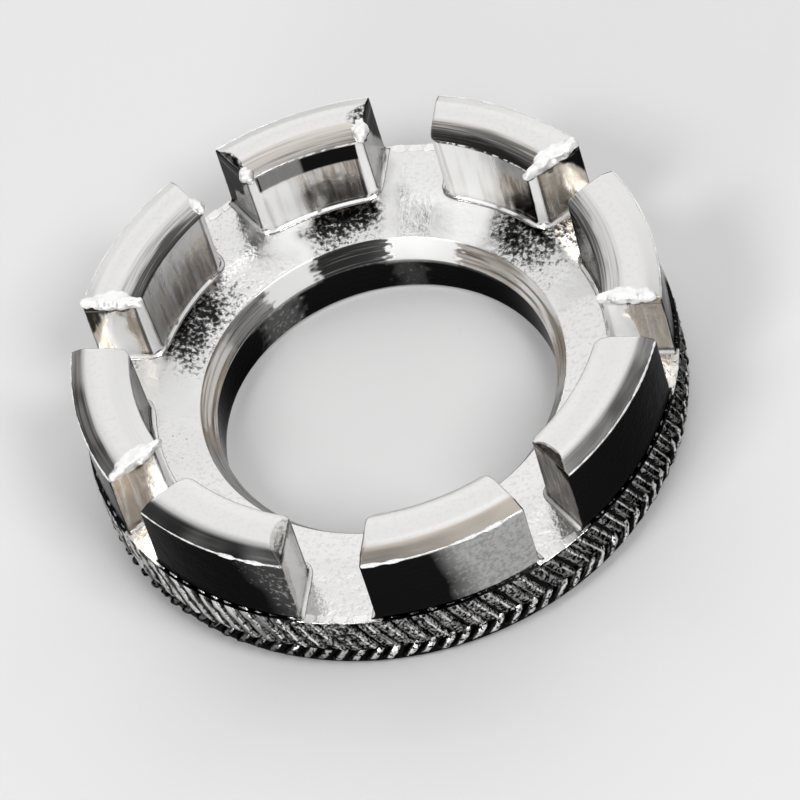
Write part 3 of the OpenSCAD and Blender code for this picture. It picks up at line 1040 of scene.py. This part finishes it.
def grip_material(finish, groups):
    """Painted dark reflection on and between the ridges, with painted highlights along their edges and over
    the lower row.
    """
    bench, shader, zones = start_material("Plated grip", groups)
    height, turn, place = zones["Height"], zones["Turn"], zones["Millimetres"]
    across, lift, part, climb = read_looks(bench, ("ridge_across", "ridge_out", "ridge_part", "seat_climb"))
    skin = use_group(bench, groups["skin"], Vector=place, Pebble=0.20, Depth=0.030)
    specks = skin["Speckle"]
    patchy = bench.noise(place, 0.8, 1.0)
    seam, top = SEAM_Z / MM, RING_H / MM
    side = bench.math("ABSOLUTE", across)
    crest = lift.step(0.70, 0.95)
    low_row = height.step(seam + 0.08, seam - 0.07)
    # Where round the grip the light falls, which shapes the painted highlights
    left = turn.step_round(262, 242) * turn.step_round(150, 190)
    front = turn.step_round(250, 285).most(turn.step_round(80, 40))
    right = turn.step_round(298, 328).most(turn.step_round(90, 60))
    centre = turn.step_round(245, 268) * turn.step_round(330, 300)

    # The upper row keeps a painted highlight along one edge, with painted glints and lighter groove walls,
    # and painted highlights all over on the left
    edge = side.step(0.42, 0.55) * side.step(0.90, 0.72) * (lift.step(0.60, 0.85) * part.step(0.98, 0.88))
    edge = edge * across.step(-0.2, 0.2).blend(0.45, 1.0)
    edge = edge * patchy.step(0.40, 0.58).blend(right.blend(0.25, 0.7), 1.0)
    flecks = specks.step(0.42, 0.68) * centre.blend(crest, crest * 0.5 + 0.5)
    flecks = flecks * centre.blend(0.45, 0.62) * right.blend(1.0, 0.45)
    groove = lift.step(0.98, 0.60) * specks.step(0.40, 0.60)
    groove = groove * patchy.step(0.38, 0.56).blend(0.30, 0.60) * left.blend(1.0, 0.15)
    stripes = crest * side.step(0.75, 0.40) * left * specks.step(0.28, 0.42)
    painted_light = (edge * specks.step(0.38, 0.50)).most(flecks.most(groove)).most(stripes) * (1.0 - low_row)

    # The lower row shows short bars of painted highlight, and the ridges' ends get a painted highlight at
    # the slots
    bars = crest * low_row * side.step(0.85, 0.45) * (part.step(0.20, 0.42) * specks.step(0.38, 0.52))
    painted_light = painted_light.most(bars * front.blend(0.20, 1.0))
    painted_light = painted_light.most(height.step(top - 0.06, top - 0.02) * climb.step(0.3, 0.0))
    bench.put(shader, {
        "Base Color": painted_light.tint(opaque(finish.painted_shade_colour), GRIP_HIGHLIGHT),
        "Specular Tint": (0.2, 0.2, 0.2, 1.0), "Roughness": painted_light.blend(0.18, 0.34),
        "Metallic": (groove * lift.step(0.98, 0.90)).blend(1.0, 0.15), "Normal": bench.bump(skin["Height"])})


def flash_material(finish, groups):
    """Bare bright metal of the flash line, white and half diffuse, so that it also stands as a painted
    highlight.
    """
    bench, shader, zones = start_material("Bare edge", groups)
    skin = use_group(bench, groups["skin"], Vector=zones["Millimetres"], Pebble=0.08, Depth=0.006)
    bench.put(shader, {
        "Base Color": skin["Pits"].tint(FLASH_METAL_HIGHLIGHT, opaque(finish.plating)),
        "Metallic": 0.45, "Roughness": 0.40, "Normal": bench.bump(skin["Height"])})


# Grip

RIDGE_SOCKETS = {
    "Geometry": "NodeSocketGeometry", "Tip Radius": 18.0, "Depth": 0.5, "Bottom": 0.4, "Top": 1.9,
    "Slant": 0.0, "Seam": 1.9, "Foot Width": 0.9, "Crest Width": 0.4, "Foot Drop": 0.1, "Climb": 0.0,
    "Seed": "NodeSocketInt", "Material": "NodeSocketMaterial",
}
# Each ridge's turn differs by up to this, in radians. Its two ends drop and its nose sinks into a jaw's
# wall by these, in millimetres.
RIDGE_WOBBLE = 0.0055
END_DROP = 0.08
NOSE_SINK = 0.42
GEOMETRY = {"Geometry": "NodeSocketGeometry"}


def stored(bench, geometry, name, value):
    return bench.value("GeometryNodeStoreNamedAttribute", {
        "Geometry": geometry, "Name": name, "Value": value})


def recalled(bench, name):
    return bench.value("GeometryNodeInputNamedAttribute", {"Name": name})


def finish_geometry(bench, geometry, material):
    """Shades the geometry smooth, gives it its material and puts it out of the tree."""
    smooth = bench.value("GeometryNodeSetShadeSmooth", {"Geometry": geometry})
    coated = bench.value("GeometryNodeSetMaterial", {"Geometry": smooth, "Material": material})
    bench.add("NodeGroupOutput", {0: coated})


def ridge_tree():
    """A row of slanted ridges: one is swept up the row, bent round the grip and set on every seat."""
    tree, bench, size = new_group("Grip ridges", RIDGE_SOCKETS, GEOMETRY, "GeometryNodeTree")
    tip_r = size["Tip Radius"]

    # The path carries its height, and the section its place across and out of the ridge
    path = bench.value("GeometryNodeCurvePrimitiveLine", {
        "Start": bench.join(0.0, 0.0, size["Bottom"]), "End": bench.join(0.0, 0.0, size["Top"])})
    path = bench.value("GeometryNodeResampleCurve", {"Curve": path, "Count": 8})
    x, y, z = bench.split(bench.value("GeometryNodeInputPosition"))
    path = stored(bench, path, "ridge_up", z)
    section = bench.value("GeometryNodeCurvePrimitiveCircle", {"Resolution": 12, "Radius": 1.0})
    for name, way in (("ridge_across", x), ("ridge_out", y)):
        squared = bench.value("ShaderNodeClamp", {0: way * 1.25, 1: -1.0, 2: 1.0})
        section = stored(bench, section, name, squared)
    ridge = bench.value("GeometryNodeCurveToMesh", {
        "Curve": path, "Profile Curve": section, "Fill Caps": True})

    # Bend the ridge round the grip, along its slant, and drop its two ends a little
    up, over, lift = (recalled(bench, name) for name in ("ridge_up", "ridge_across", "ridge_out"))
    part = (up - size["Bottom"]) / (size["Top"] - size["Bottom"])
    drop = part.least(1.0 - part).step(0.14, 0.0) * END_DROP + part.step(0.44, 0.0) * size["Foot Drop"]
    radius = tip_r - (1.0 - lift) * (size["Depth"] * 0.5) - drop
    width = (lift * 0.5 + 0.5).blend(size["Foot Width"], size["Crest Width"])
    slide = (up - size["Seam"]) * bench.math("TANGENT", size["Slant"])
    turn = (over * width * 0.5 + slide) / tip_r
    bent = bench.join(radius * bench.math("COSINE", turn), radius * bench.math("SINE", turn), up)
    ridge = bench.value("GeometryNodeSetPosition", {"Geometry": ridge, "Position": bent})
    ridge = bench.value("GeometryNodeFlipFaces", {"Mesh": ridge})
    ridge = stored(bench, ridge, "ridge_part", part)

    # Set it on the seats, each with a small difference
    wobble = bench.value("FunctionNodeRandomValue", {
        2: -RIDGE_WOBBLE, 3: RIDGE_WOBBLE, "Seed": size["Seed"]}, 1, data_type="FLOAT")
    spin = bench.join(0.0, 0.0, recalled(bench, "seat_turn") + wobble)
    rows = bench.value("GeometryNodeInstanceOnPoints", {
        "Points": size["Geometry"], "Instance": ridge, "Rotation": spin})
    rows = bench.value("GeometryNodeRealizeInstances", {0: rows})

    # Dent the crests, and run the ridges up the jaws' walls, where their noses sink in
    climb, along = recalled(bench, "seat_climb"), recalled(bench, "ridge_part")
    raised = climb * size["Climb"] * along ** 2.0
    here = bench.value("GeometryNodeInputPosition")
    outward = bench.vector("NORMALIZE", bench.vector("MULTIPLY", here, (1, 1, 0)))
    dent = ((bench.noise(here, 2.2, 1.0) - 0.64) * 0.40).least(0.0)
    nose = 1.0 - bench.math("SQRT", 1.0 - along.step(0.70, 1.04) ** 2.0)
    push = bench.vector("SCALE", outward, dent + climb * nose * -NOSE_SINK)
    shift = bench.vector("ADD", push, bench.join(0.0, 0.0, raised))
    rows = bench.value("GeometryNodeSetPosition", {"Geometry": rows, "Offset": shift})
    finish_geometry(bench, rows, size["Material"])
    return tree


BEAD_SOCKETS = {
    "Geometry": "NodeSocketGeometry", "Thickness": 0.05, "Lump Size": 0.4, "Material": "NodeSocketMaterial",
}
THINNEST_BEAD = 0.004


def bead_tree():
    """A thin uneven bead of metal along each line of the given mesh."""
    tree, bench, size = new_group("Edge bead", BEAD_SOCKETS, GEOMETRY, "GeometryNodeTree")
    path = bench.value("GeometryNodeMeshToCurve", {0: size["Geometry"]})
    ring = bench.value("GeometryNodeCurvePrimitiveCircle", {"Resolution": 6, "Radius": 1.0})
    lumps = bench.noise(bench.value("GeometryNodeInputPosition"), 1.0 / size["Lump Size"], 2.0)
    radius = lumps.step(0.25, 0.7) * recalled(bench, "bead_size") * size["Thickness"]
    bead = bench.value("GeometryNodeCurveToMesh", {
        "Curve": path, "Profile Curve": ring, "Scale": radius.most(THINNEST_BEAD), "Fill Caps": True})
    bead = bench.value("GeometryNodeRealizeInstances", {0: bead})
    finish_geometry(bench, bead, size["Material"])
    return tree


def nodes_to_piece(name, seed_mesh, tree, values):
    """Runs a geometry tree on a mesh and keeps its result as a plain piece, in metres."""
    source = place_object(name + "_seats", seed_mesh)
    modifier = source.modifiers.new("shape", "NODES")
    modifier.node_group = tree
    for item in tree.interface.items_tree:
        if item.item_type == "SOCKET" and item.in_out == "INPUT" and item.name in values:
            modifier[item.identifier] = values[item.name]
    graph = bpy.context.evaluated_depsgraph_get()
    mesh = bpy.data.meshes.new_from_object(source.evaluated_get(graph), depsgraph=graph)
    mesh.name = name
    mesh.transform(Matrix.Scale(MM, 4))
    bpy.data.objects.remove(source)
    return place_object(name, mesh)


def build_flash(ring, jaws, material):
    """The thin line of flash that the mould's parting left along the outer edge of every crown."""
    corners, edges, sizes = [], [], []
    inset, steps = 0.015, 140
    r = crown_radii(ring, jaws)[1] - inset
    z = jaws.crown_z - jaws.out_bevel_h - inset
    part = np.linspace(0, 1, steps)
    for jaw in range(1, SLOTS + 1):
        first, last = jaw_turns(jaw, r, jaws, clear=0.12)
        base = len(corners)
        corners += [(r * math.cos(a), r * math.sin(a), z) for a in first + (last - first) * part]
        edges += [(base + i, base + i + 1) for i in range(steps - 1)]
        thick = np.maximum(ramp(part, 0.50, 0.62), ramp(part, 0.26, 0.18) if jaw == 7 else 0 * part)
        sizes += list(0.42 + 0.58 * thick * (1 if jaw in (6, 7) else 0.3))
    mesh = bpy.data.meshes.new("flash")
    mesh.from_pydata(corners, edges, [])
    store_values(mesh, "bead_size", sizes)
    return nodes_to_piece("crown_flash_line", mesh, bead_tree(), {
        "Thickness": 0.16, "Lump Size": 0.8, "Material": material})


def grip_seats(name, ridges, turn, reach, jaws):
    """A point for each ridge of a row, with its turn round the grip and whether it runs up a jaw."""
    mesh = bpy.data.meshes.new(name)
    mesh.from_pydata([(0, 0, 0)] * ridges, [], [])
    turns = np.arange(ridges) / ridges * math.tau + turn
    top = (turns + reach) % math.tau
    store_values(mesh, "seat_turn", turns)
    store_values(mesh, "seat_climb", ramp(past_slots(top, jaws.out_r, jaws), 0.1, 0.5))
    return mesh


def build_grip(ring, jaws, grip, material):
    """The two rows of ridges, which meet in chevrons half a pitch out of step."""
    tree = ridge_tree()
    pitch = math.tau / grip.ridges
    shared = {"Tip Radius": grip.tip_r - 0.004, "Depth": grip.tip_r - ring.root_r + 0.12,
              "Seam": grip.seam_z, "Climb": grip.climb, "Material": material}
    high = (ring.height - grip.seam_z) * math.tan(grip.high_slant) / grip.tip_r
    upper = grip_seats("upper", grip.ridges, 0.5 * pitch, -high, jaws)
    lower = grip_seats("lower", grip.ridges, 0.0, 0.0, jaws)
    yield nodes_to_piece("grip_upper_ridges", upper, tree, {
        **shared, "Bottom": grip.seam_z + 0.03, "Top": ring.height, "Slant": -grip.high_slant,
        "Foot Width": 1.00, "Crest Width": 0.70, "Foot Drop": 0.0, "Seed": grip.seed})
    yield nodes_to_piece("grip_lower_ridges", lower, tree, {
        **shared, "Bottom": ring.foot_h * 0.9, "Top": grip.seam_z - 0.03, "Slant": grip.low_slant,
        "Climb": 0.0, "Foot Width": 0.98, "Crest Width": 0.58, "Foot Drop": 0.46, "Seed": grip.seed + 1})


# Studio: each softbox's place, its size in metres and its power in watts
SOFTBOXES = {
    "back_softbox": ((-0.10, 0.50, 0.35), (1.00, 0.80), 2.4),
    "top_softbox": ((0.03, 0.086, 0.61), (0.46, 0.36), 0.50),
    "right_softbox": ((0.324, -0.204, 0.462), (0.22, 0.22), 1.50),
    "left_softbox": ((-0.216, -0.318, 0.462), (0.18, 0.18), 1.00),
    "front_softbox": ((-0.15, -0.58, 0.14), (0.22, 0.14), 1.30),
}
FLOOR_REACH = 1.5


def lay_floor(colour):
    """A large sheet of plain pale paper under the wrench."""
    mesh = bpy.data.meshes.new("floor")
    corners = [(x * FLOOR_REACH, y * FLOOR_REACH, 0) for x, y in ((-1, -1), (1, -1), (1, 1), (-1, 1))]
    mesh.from_pydata(corners, [], [(0, 1, 2, 3)])
    paper = bpy.data.materials.new("Floor paper")
    paper.use_nodes = True
    shader = paper.node_tree.nodes["Principled BSDF"]
    shader.inputs["Base Color"].default_value = opaque(colour)
    shader.inputs["Roughness"].default_value = 0.6
    mesh.materials.append(paper)
    place_object("floor", mesh)


def hang_softbox(name, place, size, power):
    """A rectangular lamp that faces the wrench."""
    lamp = bpy.data.lights.new(name, "AREA")
    lamp.shape = "RECTANGLE"
    lamp.size, lamp.size_y = size
    lamp.energy = power
    box = place_object(name, lamp)
    box.location = place
    box.rotation_mode = "QUATERNION"
    box.rotation_quaternion = Vector(place).to_track_quat("Z", "Y")


def light_room(studio):
    """A plain room, brighter near the horizon than overhead."""
    world = bpy.data.worlds.new("Room")
    world.use_nodes = True
    bench = NodeBench(world.node_tree)
    upwards = bench.split(bench.value("ShaderNodeTexCoord", output="Generated"))[2]
    strength = upwards.step(0.05, 0.85).blend(studio.sky, studio.sky_top)
    bench.put(world.node_tree.nodes["Background"], {"Color": opaque((1.0, 1.0, 1.0)), "Strength": strength})
    return world


def set_camera(studio):
    """The camera, turned to the aim point and rolled."""
    level = math.cos(studio.elevation)
    away = Vector((level * math.cos(studio.azimuth), level * math.sin(studio.azimuth),
                   math.sin(studio.elevation)))
    lens = bpy.data.cameras.new("camera")
    lens.sensor_width = 36.0
    lens.lens = studio.lens
    camera = place_object("camera", lens)
    camera.rotation_mode = "QUATERNION"
    camera.location = Vector(studio.aim) + away * studio.distance
    turn = away.to_track_quat("Z", "Y").to_matrix() @ Matrix.Rotation(studio.roll, 3, "Z")
    camera.rotation_quaternion = turn.to_quaternion()
    return camera


# Build steps

def wrench_sizes(scene):
    """The sizes of the ring, the jaws and the grip, in millimetres."""
    return [millimetres(group) for group in (scene.wrench_ring, scene.wrench_jaws, scene.wrench_grip)]


class WRENCH_OT_finishes(bpy.types.Operator):
    """Make the plating materials and the effects that they share"""

    bl_idname = "wrench.finishes"
    bl_label = "Finishes"
    bl_options = {"REGISTER", "UNDO"}

    def execute(self, context):
        groups = {"zones": zones_group(), "skin": skin_group(), "turned": turned_group()}
        for coat in (casting_material, grip_material, flash_material):
            coat(context.scene.wrench_finish, groups)
        return {"FINISHED"}


class WRENCH_OT_ring(bpy.types.Operator):
    """Build the ring with its bore, turned lip and dished floor"""

    bl_idname = "wrench.ring"
    bl_label = "Ring"
    bl_options = {"REGISTER", "UNDO"}

    def execute(self, context):
        ring, jaws, _ = wrench_sizes(context.scene)
        seat(build_ring(ring, jaws, bpy.data.materials["Plated casting"]), "base_ring")
        return {"FINISHED"}


class WRENCH_OT_jaws(bpy.types.Operator):
    """Build the eight cast jaws between the slots"""

    bl_idname = "wrench.jaws"
    bl_label = "Jaws"
    bl_options = {"REGISTER", "UNDO"}

    def execute(self, context):
        ring, jaws, _ = wrench_sizes(context.scene)
        for jaw in range(1, SLOTS + 1):
            seat(build_jaw(jaw, ring, jaws, bpy.data.materials["Plated casting"]), f"jaw_{jaw}")
        return {"FINISHED"}


class WRENCH_OT_flash(bpy.types.Operator):
    """Build the thin flash line along the jaws' outer edges"""

    bl_idname = "wrench.flash"
    bl_label = "Flash line"
    bl_options = {"REGISTER", "UNDO"}

    def execute(self, context):
        ring, jaws, _ = wrench_sizes(context.scene)
        seat(build_flash(ring, jaws, bpy.data.materials["Bare edge"]))
        return {"FINISHED"}


class WRENCH_OT_grip(bpy.types.Operator):
    """Build the herringbone grip round the ring"""

    bl_idname = "wrench.grip"
    bl_label = "Grip"
    bl_options = {"REGISTER", "UNDO"}

    def execute(self, context):
        for piece in build_grip(*wrench_sizes(context.scene), bpy.data.materials["Plated grip"]):
            seat(piece, "knurled_grip")
        return {"FINISHED"}


class WRENCH_OT_studio(bpy.types.Operator):
    """Set up the floor, the lamps, the room and the camera"""

    bl_idname = "wrench.studio"
    bl_label = "Studio"
    bl_options = {"REGISTER", "UNDO"}

    def execute(self, context):
        scene = context.scene
        studio = scene.wrench_studio
        lay_floor(studio.floor)
        for name, (place, size, power) in SOFTBOXES.items():
            hang_softbox(name, place, size, power)
        scene.world = light_room(studio)
        scene.camera = set_camera(studio)
        scene.view_settings.view_transform = "Standard"
        return {"FINISHED"}


class WRENCH_PT_panel(bpy.types.Panel):
    """The wrench's build steps"""

    bl_idname = "WRENCH_PT_panel"
    bl_label = "Spoke Wrench"
    bl_space_type = "VIEW_3D"
    bl_region_type = "UI"
    bl_category = "Wrench"

    def draw(self, context):
        for step in STEPS:
            self.layout.operator(step.bl_idname)


STEPS = (WRENCH_OT_finishes, WRENCH_OT_ring, WRENCH_OT_jaws, WRENCH_OT_flash, WRENCH_OT_grip,
         WRENCH_OT_studio)
SETTINGS = {"wrench_ring": RingSettings, "wrench_jaws": JawSettings, "wrench_grip": GripSettings,
            "wrench_finish": FinishSettings, "wrench_studio": StudioSettings}


def register():
    for name, group in SETTINGS.items():
        bpy.utils.register_class(group)
        setattr(bpy.types.Scene, name, bpy.props.PointerProperty(type=group))
    for step in (*STEPS, WRENCH_PT_panel):
        bpy.utils.register_class(step)


def unregister():
    for step in (WRENCH_PT_panel, *reversed(STEPS)):
        bpy.utils.unregister_class(step)
    for name, group in SETTINGS.items():
        delattr(bpy.types.Scene, name)
        bpy.utils.unregister_class(group)


def main():
    register()
    for step in STEPS:
        area, name = step.bl_idname.split(".")
        getattr(getattr(bpy.ops, area), name)()


if __name__ == "__main__":
    main()
